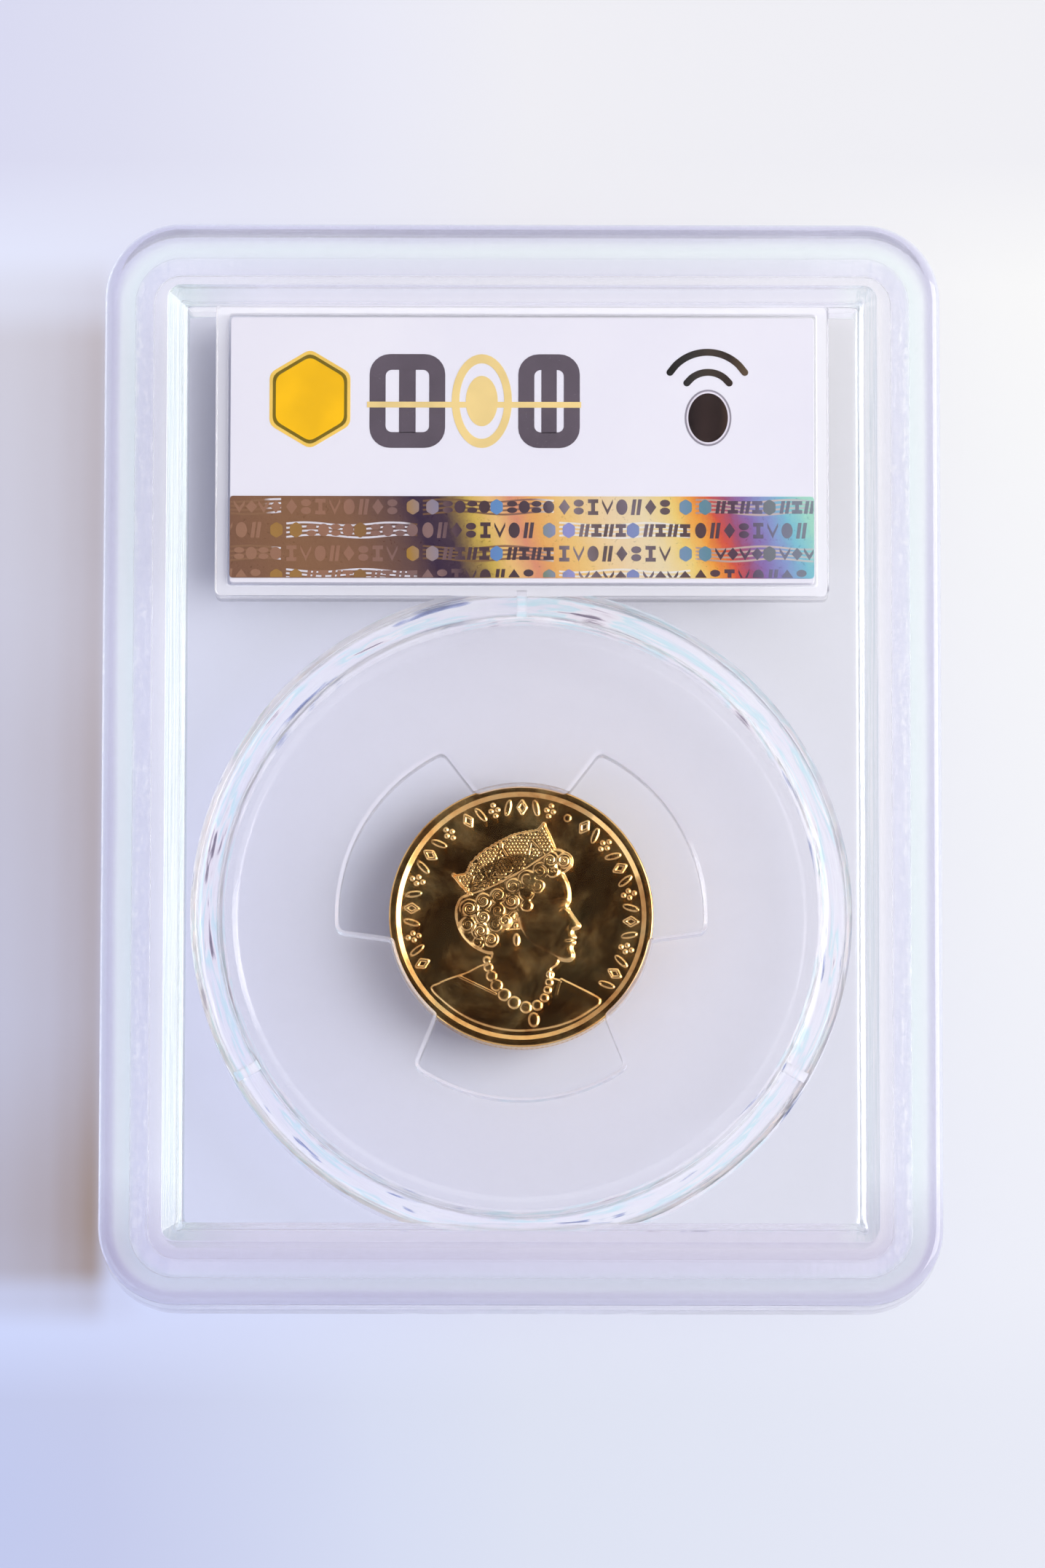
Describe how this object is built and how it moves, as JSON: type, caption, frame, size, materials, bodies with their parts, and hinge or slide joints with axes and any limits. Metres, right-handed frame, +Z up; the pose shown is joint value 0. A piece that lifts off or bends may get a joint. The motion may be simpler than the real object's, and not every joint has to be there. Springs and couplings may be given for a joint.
{
  "type": "graded coin slab",
  "caption": "Flat clear plastic holder, welded shut, that shows a coin in a round well below a label with a foil strip; it protects the coin and stacks with others.",
  "frame": {"origin": "centre of the slab's footprint, on the surface its front face rests on", "axes": "+Z up out of the rear face, the one with the foil strip; +Y along the long side towards the label; +X to the right seen from above the rear face"},
  "size_m": [0.065, 0.0846, 0.008],
  "materials": {
    "clear_shell_rear": "clear polished polystyrene with a faint lilac cast and a frosted weld band",
    "clear_shell_front": "clear polished polystyrene with a faint lilac cast",
    "clear_insert": "clear moulded plastic, slightly hazy",
    "coin_metal": "mirror field with soft gold relief, lightly toned",
    "rear_label": "smooth white printed card",
    "foil": "patterned rainbow foil film",
    "front_label": "smooth white printed card",
    "tag_film": "translucent film",
    "tag_coil": "etched copper track",
    "tag_chip": "black silicon package"
  },
  "bodies": {
    "root": {"rear_shell": "clear_shell_rear", "front_shell": "clear_shell_front", "coin_insert": "clear_insert", "coin": "coin_metal", "rear_label": "rear_label", "security_foil": "foil", "front_label": "front_label", "tag_film": "tag_film", "tag_coil": "tag_coil", "tag_chip": "tag_chip"}
  },
  "joints": []
}
